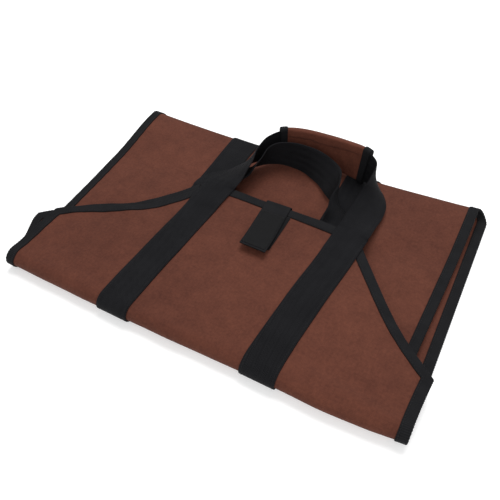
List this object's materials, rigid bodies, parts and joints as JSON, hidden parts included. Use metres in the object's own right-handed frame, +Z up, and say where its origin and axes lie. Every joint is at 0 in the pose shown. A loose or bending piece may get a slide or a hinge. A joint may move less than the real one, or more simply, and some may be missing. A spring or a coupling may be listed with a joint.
{
  "type": "canvas log carrier",
  "caption": "Folded canvas log carrier with bound edges, webbing handle loops, a wrapped grip and a closure tab.",
  "frame": {"origin": "bottom centre of the folded carrier, on the surface that it lies on", "axes": "+X along the folds to the right, +Y from the near fold to the handles, +Z up"},
  "size_m": [0.477, 0.3248, 0.0656],
  "materials": {
    "canvas": "matt waxed plain-weave canvas, brown",
    "tape": "matt ribbed binding tape, black",
    "webbing": "matt woven webbing, black",
    "fastener": "hook-and-loop tape, black"
  },
  "bodies": {
    "root": {"canvas_sheet": "canvas", "binding_left": "tape", "binding_right": "tape", "hem_binding_front": "tape", "hem_binding_back": "tape", "webbing_front": "webbing", "webbing_back": "webbing", "grip_wrap": "canvas", "grip_end_left": "tape", "grip_end_right": "tape", "closure_tab": "fastener", "tab_patch": "fastener"}
  },
  "joints": []
}
